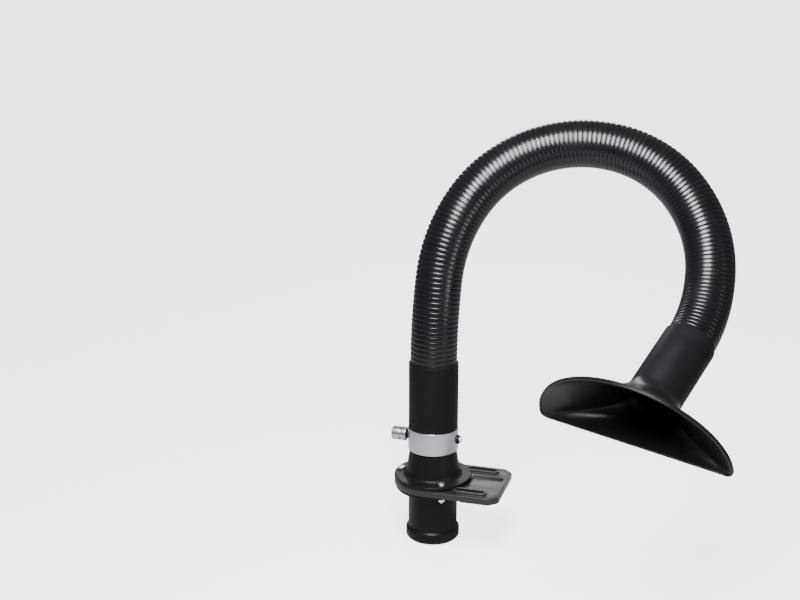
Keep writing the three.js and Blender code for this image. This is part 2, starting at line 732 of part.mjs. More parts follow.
// The hood's skin opens from a circle into the mouth, slowly at the neck and fast at the rim.
// Its rings run up the outside and back down the inside, from height 0 at the end of the cuff.
function buildHood() {
  const neck = circlePoints(cuffOd);
  const mouth = mouthPoints(0);
  const flareDepth = HOOD_DEPTH - HOOD_LIP;
  const level = (points, height) => points.map(({ x, y }) => new THREE.Vector3(x, y, height));
  const outside = (share) => {
    const opened = 1 - Math.cos((share * Math.PI) / 2);
    const points = neck.map((point, index) => point.clone().lerp(mouth[index], opened));
    return level(points, FIT_GAP + share * flareDepth);
  };
  const inside = (share) => {
    const here = outside(share);
    const below = outside(share - HOOD_SLOPE_STEP);
    const above = outside(share + HOOD_SLOPE_STEP);
    return here.map((point, index) => {
      const before = here[(index + HOOD_SIDES - 1) % HOOD_SIDES];
      const after = here[(index + 1) % HOOD_SIDES];
      const around = after.clone().sub(before);
      const along = above[index].clone().sub(below[index]);
      const inward = along.cross(around).normalize();
      return point.clone().addScaledVector(inward, HOOD_WALL);
    });
  };
  const plugEnd = -HOOD_PLUG_LENGTH;
  const groove = sealGroove(plugEnd, 0);
  const plug = circlePoints(plugOd);
  const grooveFloor = circlePoints(plugOd - 2 * SEAL_GROOVE_DEPTH);
  const bore = circlePoints(airBore);
  const innerMouth = mouthPoints(HOOD_WALL);
  const rim = FIT_GAP + HOOD_DEPTH;
  const shares = Array.from({ length: HOOD_STEPS }, (_, index) => (index + 1) / HOOD_STEPS);
  const rings = [
    level(bore, plugEnd),
    level(plug, plugEnd),
    level(plug, groove[0]),
    level(grooveFloor, groove[0]),
    level(grooveFloor, groove[1]),
    level(plug, groove[1]),
    level(plug, FIT_GAP),
    level(neck, FIT_GAP),
    ...shares.map(outside),
    level(mouth, rim),
    level(innerMouth, rim),
    level(innerMouth, FIT_GAP + flareDepth + HOOD_WALL),
    ...shares.slice(0, -1).reverse().map(inside),
    level(bore, FIT_GAP + HOOD_WALL),
  ];
  const hood = addPiece(hoseEnd, "hood", ringSkin(rings), blackPlastic);
  hood.rotation.z = THREE.MathUtils.degToRad(HOOD_ROLL);
  addPiece(hoseEnd, "hood_seal_ring", sealRing(groove), blackRubber);
}

// The far end of the hose is where the end cuff's plug end lies
const far = hoseFrame(hoseLength + END_CUFF_LENGTH);
hoseEnd.position.copy(far.place);
hoseEnd.quaternion.copy(far.turn);

buildBracket();
buildUpperFlange();
buildHoseSpigot();
buildFlangeScrews();
buildShutOffRing();
buildBushes();
buildFlapShaft();
buildFlap();
buildKnob();
buildShaftRetainer();
buildCuffs();
buildHose();
buildHood();

export default part;
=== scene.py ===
import math

import bmesh
import bpy
from mathutils import Matrix, Quaternion, Vector


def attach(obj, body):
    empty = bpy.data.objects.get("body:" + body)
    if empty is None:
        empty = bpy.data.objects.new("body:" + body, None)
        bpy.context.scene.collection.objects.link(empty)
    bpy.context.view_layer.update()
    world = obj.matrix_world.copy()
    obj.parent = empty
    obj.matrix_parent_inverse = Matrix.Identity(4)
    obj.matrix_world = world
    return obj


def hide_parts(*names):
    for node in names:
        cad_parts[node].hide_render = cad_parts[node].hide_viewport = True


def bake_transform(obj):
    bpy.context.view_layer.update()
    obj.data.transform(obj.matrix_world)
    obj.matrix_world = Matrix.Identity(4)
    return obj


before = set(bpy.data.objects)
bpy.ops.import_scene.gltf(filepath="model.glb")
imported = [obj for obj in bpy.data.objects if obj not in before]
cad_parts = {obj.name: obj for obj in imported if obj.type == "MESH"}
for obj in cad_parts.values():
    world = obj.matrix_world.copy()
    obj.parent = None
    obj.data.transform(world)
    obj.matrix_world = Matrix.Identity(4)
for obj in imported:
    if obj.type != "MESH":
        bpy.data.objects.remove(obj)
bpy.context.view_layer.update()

# Bracket plate
# A black painted casting. Its tongue lies flat and is fixed through two rimmed slots with a thin
# web between them, while its round end stands out round the pipe.
METRES = 0.001
PIPE_X = -54.5
PLATE_HALF = 47.5
PLATE_END = 91
PLATE_CORNER = 10
PLATE_THICKNESS = 8
PLATE_HOLE = 58
PLATE_PAD = 1
PLATE_PAD_START = 46.5
PLATE_EDGE = 0.45
SLOT_NEAR = 40
SLOT_FAR = 69
SLOT_ACROSS = 34
SLOT_HALF = 4
SLOT_RIM = 3
SLOT_RIM_TOP = 10.5
FLANGE_ROOM = 95.6
WEB_START = 47.5
WEB_END = 85
WEB_HALF = 18
WEB_FLOOR = 5.5
ARC_STEPS = 48
SLOT_STEPS = 16
NEAR_POINTS = 0.01
SHORT_EDGES = 0.25
FLAT_ANGLE = math.radians(0.6)
SHARP_ANGLE = math.radians(32)
EDGE_SEGMENTS = 3
CUT_PAST = 1
SMUDGE_SCALE = 34.0
SMUDGE_DETAIL = 5.0
SMUDGE_SPREAD = (0.3, 0.72)
GRAIN_DETAIL = 2.0
DUST_SCALE = 55.0
DUST_DETAIL = 8.0
DUST_SPREAD = (0.35, 0.7)
DUST_SLOPES = (-0.2, 1.0)
CASTING_BLACK = (0.008, 0.0085, 0.0095)
CASTING_SHINE = 0.35


def new_group(name, inputs, outputs):
    """A shader node group with its two ends; inputs are (label, socket kind, value)."""
    group = bpy.data.node_groups.new(name, "ShaderNodeTree")
    for label, kind, value in inputs:
        socket = group.interface.new_socket(label, in_out="INPUT", socket_type=kind)
        socket.default_value = value
    for label, kind in outputs:
        group.interface.new_socket(label, in_out="OUTPUT", socket_type=kind)
    return group, group.nodes.new("NodeGroupInput"), group.nodes.new("NodeGroupOutput")


def noise(tree, scale, detail, coordinates):
    """A noise texture on the given coordinates; scale is a number or another node's output."""
    texture = tree.nodes.new("ShaderNodeTexNoise")
    texture.inputs["Detail"].default_value = detail
    tree.links.new(coordinates, texture.inputs["Vector"])
    if isinstance(scale, (int, float)):
        texture.inputs["Scale"].default_value = scale
    else:
        tree.links.new(scale, texture.inputs["Scale"])
    return texture.outputs["Fac"]


def ranged(tree, value, low, high, to_low=0.0, to_high=1.0):
    """A value spread from one range to another and held inside it; ends may be outputs."""
    spread = tree.nodes.new("ShaderNodeMapRange")
    spread.inputs["From Min"].default_value = low
    spread.inputs["From Max"].default_value = high
    tree.links.new(value, spread.inputs["Value"])
    for label, end in (("To Min", to_low), ("To Max", to_high)):
        if isinstance(end, (int, float)):
            spread.inputs[label].default_value = end
        else:
            tree.links.new(end, spread.inputs[label])
    return spread.outputs["Result"]


def handled_surface_group():
    """Smudged roughness from handling, and the fine grain that a mould or a coat of paint leaves."""
    inputs = [
        ("Grain", "NodeSocketFloat", 1500.0),
        ("Smooth", "NodeSocketFloat", 0.3),
        ("Rough", "NodeSocketFloat", 0.5),
    ]
    outputs = [("Roughness", "NodeSocketFloat"), ("Height", "NodeSocketFloat")]
    group, start, end = new_group("handled surface", inputs, outputs)
    place = group.nodes.new("ShaderNodeTexCoord").outputs["Object"]
    smudge = noise(group, SMUDGE_SCALE, SMUDGE_DETAIL, place)
    roughness = ranged(group, smudge, *SMUDGE_SPREAD, start.outputs["Smooth"], start.outputs["Rough"])
    group.links.new(roughness, end.inputs["Roughness"])
    grain = noise(group, start.outputs["Grain"], GRAIN_DETAIL, place)
    group.links.new(grain, end.inputs["Height"])
    return group


def settled_dust_group():
    """A thin pale film of dust on what faces up, broken into soft patches."""
    inputs = [
        ("Colour", "NodeSocketColor", (0.02, 0.02, 0.02, 1)),
        ("Dust", "NodeSocketColor", (0.3, 0.29, 0.27, 1)),
        ("Amount", "NodeSocketFloat", 0.05),
    ]
    group, start, end = new_group("settled dust", inputs, [("Colour", "NodeSocketColor")])
    place = group.nodes.new("ShaderNodeTexCoord").outputs["Object"]
    normal = group.nodes.new("ShaderNodeNewGeometry").outputs["Normal"]
    facing = group.nodes.new("ShaderNodeSeparateXYZ")
    group.links.new(normal, facing.inputs["Vector"])
    upward = ranged(group, facing.outputs["Z"], *DUST_SLOPES, 0.0, start.outputs["Amount"])
    patches = ranged(group, noise(group, DUST_SCALE, DUST_DETAIL, place), *DUST_SPREAD)
    cover = group.nodes.new("ShaderNodeMath")
    cover.operation = "MULTIPLY"
    group.links.new(upward, cover.inputs[0])
    group.links.new(patches, cover.inputs[1])
    mix = group.nodes.new("ShaderNodeMix")
    mix.data_type = "RGBA"
    group.links.new(cover.outputs["Value"], mix.inputs["Factor"])
    group.links.new(start.outputs["Colour"], mix.inputs["A"])
    group.links.new(start.outputs["Dust"], mix.inputs["B"])
    group.links.new(mix.outputs["Result"], end.inputs["Colour"])
    return group


handled_surface = handled_surface_group()
settled_dust = settled_dust_group()


def coated(name, colour, shine, smooth, rough, grain, depth, dust):
    """A dark coat, plastic or rubber under thin dust; depth is the height of its grain."""
    made = bpy.data.materials.new(name)
    made.use_nodes = True
    tree = made.node_tree
    shader = tree.nodes["Principled BSDF"]
    film = tree.nodes.new("ShaderNodeGroup")
    film.node_tree = settled_dust
    film.inputs["Colour"].default_value = (*colour, 1)
    film.inputs["Amount"].default_value = dust
    tree.links.new(film.outputs["Colour"], shader.inputs["Base Color"])
    shader.inputs["Specular IOR Level"].default_value = shine
    surface = tree.nodes.new("ShaderNodeGroup")
    surface.node_tree = handled_surface
    surface.inputs["Grain"].default_value = grain
    surface.inputs["Smooth"].default_value = smooth
    surface.inputs["Rough"].default_value = rough
    tree.links.new(surface.outputs["Roughness"], shader.inputs["Roughness"])
    bump = tree.nodes.new("ShaderNodeBump")
    bump.inputs["Distance"].default_value = depth * METRES
    tree.links.new(surface.outputs["Height"], bump.inputs["Height"])
    tree.links.new(bump.outputs["Normal"], shader.inputs["Normal"])
    return made


def arc(centre_x, centre_y, radius, first, last, steps=ARC_STEPS):
    """Points on an arc between two angles."""
    turns = [math.radians(first + (last - first) * step / steps) for step in range(steps + 1)]
    return [(centre_x + radius * math.cos(turn), centre_y + radius * math.sin(turn)) for turn in turns]


def raised(outline, low, high):
    """A mesh of a flat outline, listed anticlockwise, raised from one height to another."""
    count = len(outline)
    corners = [(x, y, z) for z in (low, high) for x, y in outline]
    sides = [
        (index, (index + 1) % count, count + (index + 1) % count, count + index)
        for index in range(count)
    ]
    lids = [tuple(reversed(range(count))), tuple(range(count, 2 * count))]
    mesh = bpy.data.meshes.new("raised")
    mesh.from_pydata(corners, [], sides + lids)
    return mesh


def shown(mesh, name="working"):
    """An object that shows a mesh."""
    made = bpy.data.objects.new(name, mesh)
    bpy.context.scene.collection.objects.link(made)
    return made


def evaluated_mesh(made):
    """A plain mesh of an object with its modifiers; the object is used up."""
    mesh = bpy.data.meshes.new_from_object(made.evaluated_get(bpy.context.evaluated_depsgraph_get()))
    bpy.data.objects.remove(made)
    return mesh


def merged(mesh, distance):
    """The mesh with points that lie closer than a distance made one."""
    work = bmesh.new()
    work.from_mesh(mesh)
    bmesh.ops.remove_doubles(work, verts=work.verts, dist=distance)
    work.to_mesh(mesh)
    work.free()
    return mesh


def flats_joined(mesh):
    """The mesh with no short edges and with each flat face in one piece, so that edges break evenly."""
    work = bmesh.new()
    work.from_mesh(merged(mesh, SHORT_EDGES))
    bmesh.ops.dissolve_limit(work, angle_limit=FLAT_ANGLE, verts=work.verts, edges=work.edges)
    work.to_mesh(mesh)
    work.free()
    return mesh


def combined(mesh, tool, operation):
    """One mesh added to another or cut from it."""
    made = shown(mesh)
    other = shown(tool)
    boolean = made.modifiers.new("combined", "BOOLEAN")
    boolean.operation = operation
    boolean.solver = "EXACT"
    boolean.object = other
    result = evaluated_mesh(made)
    bpy.data.objects.remove(other)
    return merged(result, NEAR_POINTS)


def edges_broken(mesh, width):
    """The mesh with its sharp edges rounded over."""
    made = shown(mesh)
    bevel = made.modifiers.new("edges", "BEVEL")
    bevel.width = width
    bevel.segments = EDGE_SEGMENTS
    bevel.limit_method = "ANGLE"
    bevel.angle_limit = SHARP_ANGLE
    return merged(evaluated_mesh(made), NEAR_POINTS)


def placed_piece(name, mesh, material, replaced, place=Matrix.Translation((PIPE_X, 0, 0))):
    """A finished object at its place on the part, in metres, standing for CAD nodes."""
    mesh.transform(Matrix.Scale(METRES, 4) @ place)
    mesh.shade_smooth()
    mesh.set_sharp_from_angle(angle=SHARP_ANGLE)
    mesh.materials.clear()
    mesh.materials.append(material)
    made = shown(mesh, name)
    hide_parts(*replaced)
    return made


def slot_outline(growth, across):
    """A slot's rounded outline, grown on all sides."""
    half = SLOT_HALF + growth
    near_end = arc(SLOT_NEAR, across, half, 90, 270, SLOT_STEPS)
    return near_end + arc(SLOT_FAR, across, half, -90, 90, SLOT_STEPS)


def bracket_mesh():
    """The plate with its web, rims, slots and pipe hole, from the pipe's axis."""
    outline = arc(0, 0, PLATE_HALF, 90, 270)
    outline += [
        (PLATE_END - PLATE_CORNER, -PLATE_HALF),
        (PLATE_END, PLATE_CORNER - PLATE_HALF),
        (PLATE_END, PLATE_HALF - PLATE_CORNER),
        (PLATE_END - PLATE_CORNER, PLATE_HALF),
    ]
    above = SLOT_RIM_TOP + CUT_PAST
    plate = raised(outline, 0, PLATE_THICKNESS)
    web = [(WEB_START, -WEB_HALF), (WEB_END, -WEB_HALF), (WEB_END, WEB_HALF), (WEB_START, WEB_HALF)]
    plate = combined(plate, raised(web, WEB_FLOOR, above), "DIFFERENCE")
    for across in (-SLOT_ACROSS, SLOT_ACROSS):
        rim = raised(slot_outline(SLOT_RIM, across), PLATE_THICKNESS / 2, SLOT_RIM_TOP)
        room = raised(arc(0, 0, FLANGE_ROOM / 2, 0, 360)[:-1], PLATE_THICKNESS, above)
        plate = combined(plate, combined(rim, room, "DIFFERENCE"), "UNION")
        plate = combined(plate, raised(slot_outline(0, across), -CUT_PAST, above), "DIFFERENCE")
    hole = raised(arc(0, 0, PLATE_HOLE / 2, 0, 360)[:-1], -CUT_PAST, above)
    plate = combined(plate, hole, "DIFFERENCE")
    far = 2 * PLATE_END
    flange_side = [(-far, -far), (PLATE_PAD_START, -far), (PLATE_PAD_START, far), (-far, far)]
    plate = combined(plate, raised(flange_side, -CUT_PAST, PLATE_PAD), "DIFFERENCE")
    return edges_broken(flats_joined(plate), PLATE_EDGE)


casting_paint = coated(
    "black casting paint",
    CASTING_BLACK,
    CASTING_SHINE,
    smooth=0.3,
    rough=0.45,
    grain=1400.0,
    depth=0.05,
    dust=0.03,
)
bracket = placed_piece("bracket", bracket_mesh(), casting_paint, ["bracket_plate"])
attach(bracket, "base")

# Flanges
# Two black moulded flanges clamp the plate between them. The upper one rises in a flared neck to
# the ring, and the lower one runs down as the outlet pipe, with a bead round its end.
AIR_BORE = 24.5
FLANGE_SEAT = 8.1
FLANGE_TOP = 13.1
FLANGE_RADIUS = 47.5
NECK_BASE = 33.5
NECK_TOP = 28.5
NECK_HEIGHT = 46.1
SOCKET_RADIUS = 26.3
SOCKET_FLOOR = 30.1
COLLAR_RADIUS = 28.7
COLLAR_BOTTOM = 2
LOWER_RADIUS = 45.5
LOWER_TOP = 0.9
LOWER_BOTTOM = -4.1
OUTLET_RADIUS = 30
OUTLET_BORE = 27
OUTLET_END = -70.1
BEAD_RADIUS = 33
BEAD_TOP = -54.1
BEAD_SLOPE = 3
FLANGE_EDGE = 1.4
FLANGE_SEAT_EDGE = 0.6
NECK_FILLET = 5
NECK_EDGE = 0.5
OUTLET_EDGE = 0.8
OUTLET_FILLET = 3
BEAD_ROUNDING = 1.5
FILLET_STEPS = 6
ROUND_STEPS = 112
MOULDED_BLACK = (0.0035, 0.0037, 0.0043)
MOULDED_SHINE = 0.1


def filleted(profile):
    """A closed profile of (radius, height, rounding) with its corners rounded."""
    points = []
    for index, (radius, height, rounding) in enumerate(profile):
        corner = Vector((radius, height))
        if not rounding:
            points.append(corner)
            continue
        before = Vector(profile[index - 1][:2]) - corner
        after = Vector(profile[(index + 1) % len(profile)][:2]) - corner
        first = corner + before.normalized() * rounding
        last = corner + after.normalized() * rounding
        for step in range(FILLET_STEPS + 1):
            share = step / FILLET_STEPS
            points.append(first.lerp(corner, share).lerp(corner.lerp(last, share), share))
    return points


def turned(profile, steps=ROUND_STEPS):
    """A mesh of a closed profile, listed outside upwards, turned about the height axis."""
    points = filleted(profile)
    count = len(points)
    corners = []
    for step in range(steps):
        turn = 2 * math.pi * step / steps
        corners += [(point.x * math.cos(turn), point.x * math.sin(turn), point.y) for point in points]
    faces = []
    for step in range(steps):
        here = step * count
        there = (step + 1) % steps * count
        for index in range(count):
            after = (index + 1) % count
            faces.append((here + index, there + index, there + after, here + after))
    mesh = bpy.data.meshes.new("turned")
    mesh.from_pydata(corners, [], faces)
    return merged(mesh, NEAR_POINTS)


upper_flange_profile = [
    (AIR_BORE, COLLAR_BOTTOM, 0),
    (COLLAR_RADIUS, COLLAR_BOTTOM, FLANGE_SEAT_EDGE),
    (COLLAR_RADIUS, FLANGE_SEAT, 0),
    (FLANGE_RADIUS, FLANGE_SEAT, FLANGE_SEAT_EDGE),
    (FLANGE_RADIUS, FLANGE_TOP, FLANGE_EDGE),
    (NECK_BASE, FLANGE_TOP, NECK_FILLET),
    (NECK_TOP, NECK_HEIGHT, NECK_EDGE),
    (SOCKET_RADIUS, NECK_HEIGHT, 0),
    (SOCKET_RADIUS, SOCKET_FLOOR, 0),
    (AIR_BORE, SOCKET_FLOOR, 0),
]
outlet_profile = [
    (OUTLET_BORE, OUTLET_END, OUTLET_EDGE),
    (OUTLET_RADIUS, OUTLET_END, OUTLET_EDGE),
    (BEAD_RADIUS, OUTLET_END + BEAD_SLOPE, BEAD_ROUNDING),
    (BEAD_RADIUS, BEAD_TOP - BEAD_SLOPE, BEAD_ROUNDING),
    (OUTLET_RADIUS, BEAD_TOP, BEAD_ROUNDING),
    (OUTLET_RADIUS, LOWER_BOTTOM, OUTLET_FILLET),
    (LOWER_RADIUS, LOWER_BOTTOM, FLANGE_EDGE),
    (LOWER_RADIUS, LOWER_TOP, FLANGE_SEAT_EDGE),
    (OUTLET_BORE, LOWER_TOP, 0),
]
moulded_plastic = coated(
    "black moulded plastic",
    MOULDED_BLACK,
    MOULDED_SHINE,
    smooth=0.34,
    rough=0.5,
    grain=2200.0,
    depth=0.03,
    dust=0.012,
)
flange = placed_piece(
    "flange", turned(upper_flange_profile), moulded_plastic, ["upper_flange"]
)
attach(flange, "base")
outlet = placed_piece(
    "outlet", turned(outlet_profile), moulded_plastic, ["hose_spigot"]
)
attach(outlet, "base")

# Clamp screws
# Three zinc-plated socket screws draw the flanges together through the plate, each with a hexagon
# nut under the lower flange.
SCREW_COUNT = 3
SCREW_CIRCLE = 40.5
SCREW_FIRST_ANGLE = 60
SCREW_HEAD_RADIUS = 4.25
SCREW_SEAT = 13.2
SCREW_HEAD_TOP = 16.4
SCREW_SHANK = 2
SCREW_END = -9.4
SCREW_SOCKET = 1.73
SCREW_SOCKET_FLOOR = 14.6
SCREW_TIP_EDGE = 0.4
SCREW_SEAT_EDGE = 0.2
SCREW_HEAD_EDGE = 0.9
NUT_RADIUS = 4.04
NUT_TOP = -4.2
NUT_BOTTOM = -7.4
NUT_BORE = 2.3
NUT_EDGE = 0.3
ZINC = (0.62, 0.63, 0.65)
SMALL_STEPS = 40
LINES_DETAIL = 3.0


def bare_metal(name, colour, smooth, rough, lines, depth):
    """Bare metal with fine marks; lines is how fast the marks change along each axis."""
    made = bpy.data.materials.new(name)
    made.use_nodes = True
    tree = made.node_tree
    shader = tree.nodes["Principled BSDF"]
    shader.inputs["Base Color"].default_value = (*colour, 1)
    shader.inputs["Metallic"].default_value = 1.0
    surface = tree.nodes.new("ShaderNodeGroup")
    surface.node_tree = handled_surface
    surface.inputs["Smooth"].default_value = smooth
    surface.inputs["Rough"].default_value = rough
    tree.links.new(surface.outputs["Roughness"], shader.inputs["Roughness"])
    stretch = tree.nodes.new("ShaderNodeMapping")
    stretch.inputs["Scale"].default_value = lines
    place = tree.nodes.new("ShaderNodeTexCoord").outputs["Object"]
    tree.links.new(place, stretch.inputs["Vector"])
    bump = tree.nodes.new("ShaderNodeBump")
    bump.inputs["Distance"].default_value = depth * METRES
    marks = noise(tree, 1.0, LINES_DETAIL, stretch.outputs["Vector"])
    tree.links.new(marks, bump.inputs["Height"])
    tree.links.new(bump.outputs["Normal"], shader.inputs["Normal"])
    return made


def tree_inputs(tree, **values):
    """Identifiers of a node tree's inputs with their values, for a modifier."""
    found = {item.name.replace(" ", "_"): item.identifier for item in tree.interface.items_tree}
    return {found[label]: value for label, value in values.items()}


def new_geometry_tree(name, inputs):
    """A geometry node tree with its two ends; inputs are (label, socket kind)."""
    tree = bpy.data.node_groups.new(name, "GeometryNodeTree")
    tree.interface.new_socket("Geometry", in_out="INPUT", socket_type="NodeSocketGeometry")
    for label, kind in inputs:
        tree.interface.new_socket(label, in_out="INPUT", socket_type=kind)
    tree.interface.new_socket("Geometry", in_out="OUTPUT", socket_type="NodeSocketGeometry")
    return tree, tree.nodes.new("NodeGroupInput"), tree.nodes.new("NodeGroupOutput")


def finished_end(tree, geometry, material, end):
    """Ends a tree by making instances real and giving them their material."""
    real = tree.nodes.new("GeometryNodeRealizeInstances")
    tree.links.new(geometry, real.inputs["Geometry"])
    paint = tree.nodes.new("GeometryNodeSetMaterial")
    tree.links.new(real.outputs["Geometry"], paint.inputs["Geometry"])
    tree.links.new(material, paint.inputs["Material"])
    tree.links.new(paint.outputs["Geometry"], end.inputs["Geometry"])


def screw_circle_tree():
    """Copies of one fastener evenly spread on a circle."""
    inputs = [
        ("Fastener", "NodeSocketObject"),
        ("Count", "NodeSocketInt"),
        ("Circle Radius", "NodeSocketFloat"),
        ("First Turn", "NodeSocketVector"),
        ("Material", "NodeSocketMaterial"),
    ]
    tree, start, end = new_geometry_tree("screw circle", inputs)
    circle = tree.nodes.new("GeometryNodeMeshCircle")
    tree.links.new(start.outputs["Count"], circle.inputs["Vertices"])
    tree.links.new(start.outputs["Circle Radius"], circle.inputs["Radius"])
    turn = tree.nodes.new("GeometryNodeTransform")
    tree.links.new(circle.outputs["Mesh"], turn.inputs["Geometry"])
    tree.links.new(start.outputs["First Turn"], turn.inputs["Rotation"])
    fastener = tree.nodes.new("GeometryNodeObjectInfo")
    tree.links.new(start.outputs["Fastener"], fastener.inputs["Object"])
    copies = tree.nodes.new("GeometryNodeInstanceOnPoints")
    tree.links.new(turn.outputs["Geometry"], copies.inputs["Points"])
    tree.links.new(fastener.outputs["Geometry"], copies.inputs["Instance"])
    finished_end(tree, copies.outputs["Instances"], start.outputs["Material"], end)
    return tree


def grown(tree, seed_mesh, **values):
    """The plain mesh that a geometry tree makes from a seed mesh with these inputs."""
    made = shown(seed_mesh)
    modifier = made.modifiers.new("grown", "NODES")
    for identifier, value in tree_inputs(tree, **values).items():
        modifier[identifier] = value
    modifier.node_group = tree
    return evaluated_mesh(made)


screw_profile = [
    (0, SCREW_END, 0),
    (SCREW_SHANK, SCREW_END, SCREW_TIP_EDGE),
    (SCREW_SHANK, SCREW_SEAT, 0),
    (SCREW_HEAD_RADIUS, SCREW_SEAT, SCREW_SEAT_EDGE),
    (SCREW_HEAD_RADIUS, SCREW_HEAD_TOP, SCREW_HEAD_EDGE),
    (0, SCREW_HEAD_TOP, 0),
]


def hexagon(radius):
    """The corners of a hexagon with this corner radius."""
    return arc(0, 0, radius, 0, 360, 6)[:-1]


socket_hole = raised(hexagon(SCREW_SOCKET), SCREW_SOCKET_FLOOR, SCREW_HEAD_TOP + CUT_PAST)
screw_mesh = combined(turned(screw_profile, SMALL_STEPS), socket_hole, "DIFFERENCE")
nut_hole = raised(arc(0, 0, NUT_BORE, 0, 360)[:-1], NUT_BOTTOM - CUT_PAST, NUT_TOP + CUT_PAST)
nut_block = raised(hexagon(NUT_RADIUS), NUT_BOTTOM, NUT_TOP)
nut_mesh = edges_broken(combined(nut_block, nut_hole, "DIFFERENCE"), NUT_EDGE)
zinc_plate = bare_metal(
    "zinc plating", ZINC, smooth=0.28, rough=0.42, lines=(500, 500, 500), depth=0.02
)
screw_circle = screw_circle_tree()
fasteners = [
    ("flange_screws", screw_mesh, ["flange_screw_1", "flange_screw_2", "flange_screw_3"]),
    ("flange_nuts", nut_mesh, ["flange_nut_1", "flange_nut_2", "flange_nut_3"]),
]
for name, fastener_mesh, replaced in fasteners:
    fastener = shown(fastener_mesh)
    mesh = grown(
        screw_circle,
        bpy.data.meshes.new("seed"),
        Fastener=fastener,
        Count=SCREW_COUNT,
        Circle_Radius=SCREW_CIRCLE,
        First_Turn=(0.0, 0.0, math.radians(SCREW_FIRST_ANGLE)),
        Material=zinc_plate,
    )
    bpy.data.objects.remove(fastener)
    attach(placed_piece(name, mesh, zinc_plate, replaced), "base")

# Shut-off ring
# A bright turned aluminium ring seated in the flange's neck, with a plug that the cuff slides over.
# The flap's shaft crosses it in two black bushes.
RING_RADIUS = 30.5
RING_BOTTOM = 46.2
RING_TOP = 74.2
RING_FOOT = 30.5
RING_FOOT_RADIUS = 26
PLUG_RADIUS = 27
PLUG_TOP = 96.2
SHAFT_HEIGHT = 60.2
RING_EDGE = 0.8
RING_LIP = 0.3
PLUG_EDGE = 0.5
BUSH_RADIUS = 5.5
BUSH_HOLE = 5.8
BUSH_START = 24.8
BUSH_END = 33
BUSH_BORE = 3.3
BUSH_LIP = 0.3
BUSH_EDGE = 0.5
ALUMINIUM = (0.42, 0.42, 0.44)

ring_profile = [
    (AIR_BORE, RING_FOOT, RING_LIP),
    (RING_FOOT_RADIUS, RING_FOOT, RING_LIP),
    (RING_FOOT_RADIUS, RING_BOTTOM, 0),
    (RING_RADIUS, RING_BOTTOM, RING_EDGE),
    (RING_RADIUS, RING_TOP, RING_EDGE),
    (PLUG_RADIUS, RING_TOP, 0),
    (PLUG_RADIUS, PLUG_TOP, PLUG_EDGE),
    (AIR_BORE, PLUG_TOP, RING_LIP),
]
LAID_DOWN = Matrix.Rotation(math.pi / 2, 4, "Y")
ALONG_SHAFT = Matrix.Translation((PIPE_X, 0, SHAFT_HEIGHT)) @ LAID_DOWN
TURNED_END = Matrix.Rotation(math.pi, 4, "X")
bush_hole = raised(arc(0, 0, BUSH_HOLE, 0, 360)[:-1], -2 * RING_RADIUS, 2 * RING_RADIUS)
bush_hole.transform(Matrix.Translation((0, 0, SHAFT_HEIGHT)) @ LAID_DOWN)
satin_aluminium = bare_metal(
    "satin aluminium", ALUMINIUM, smooth=0.26, rough=0.36, lines=(60, 60, 4200), depth=0.02
)
ring_mesh = combined(turned(ring_profile), bush_hole, "DIFFERENCE")
ring = placed_piece("shut_off", ring_mesh, satin_aluminium, ["shut_off_ring"])
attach(ring, "base")
bush_profile = [
    (BUSH_BORE, BUSH_START, 0),
    (BUSH_RADIUS, BUSH_START, BUSH_LIP),
    (BUSH_RADIUS, BUSH_END, BUSH_EDGE),
    (BUSH_BORE, BUSH_END, BUSH_LIP),
]
for side, turn in (("left", TURNED_END), ("right", Matrix.Identity(4))):
    bush = placed_piece(
        "bush_" + side,
        turned(bush_profile, SMALL_STEPS),
        moulded_plastic,
        ["shaft_bush_" + side],
        ALONG_SHAFT @ turn,
    )
    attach(bush, "base")

# Flap and knob
# The flap is a steel disc screwed to a steel shaft across the ring, so turning it closes the pipe.
# A bright knob with a dark groove is set on one end by a grub screw, and a screw holds the other.
KNOB_START = 33.3
KNOB_LENGTH = 18
KNOB_RADIUS = 8.5
KNOB_GROOVE = 6
KNOB_GROOVE_END = 7.6
KNOB_GROOVE_RADIUS = 7.5
KNOB_HOLE = 13
KNOB_GRUB = 10.3
KNOB_INNER_EDGE = 1
KNOB_GROOVE_EDGE = 0.3
KNOB_OUTER_EDGE = 1.2
GRUB_ROOM = 1.8
RETAINER_SEAT = 33.3
RETAINER_TOP = 35.3
RETAINER_RADIUS = 4
RETAINER_SHANK = 1.5
RETAINER_END = 26.3
RETAINER_EDGE = 0.2
RETAINER_DOME = 1
STEEL = (0.52, 0.53, 0.55)

knob_profile = [
    (BUSH_BORE, 0, 0),
    (KNOB_RADIUS, 0, KNOB_INNER_EDGE),
    (KNOB_RADIUS, KNOB_GROOVE, KNOB_GROOVE_EDGE),
    (KNOB_GROOVE_RADIUS, KNOB_GROOVE, 0),
    (KNOB_GROOVE_RADIUS, KNOB_GROOVE_END, 0),
    (KNOB_RADIUS, KNOB_GROOVE_END, KNOB_GROOVE_EDGE),
    (KNOB_RADIUS, KNOB_LENGTH, KNOB_OUTER_EDGE),
    (0, KNOB_LENGTH, 0),
    (0, KNOB_HOLE, 0),
    (BUSH_BORE, KNOB_HOLE, 0),
]
grub_hole = raised(arc(0, 0, GRUB_ROOM, 0, 360)[:-1], 0, KNOB_RADIUS + 2 * CUT_PAST)
grub_hole.transform(Matrix.Translation((0, 0, KNOB_GRUB)) @ LAID_DOWN)
knob_mesh = combined(turned(knob_profile), grub_hole, "DIFFERENCE")
turned_aluminium = bare_metal(
    "turned aluminium", ALUMINIUM, smooth=0.24, rough=0.34, lines=(4200, 60, 60), depth=0.02
)
knob_place = ALONG_SHAFT @ TURNED_END @ Matrix.Translation((0, 0, KNOB_START))
knob = placed_piece("knob", knob_mesh, turned_aluminium, ["flap_knob"], knob_place)
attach(knob, "flap")
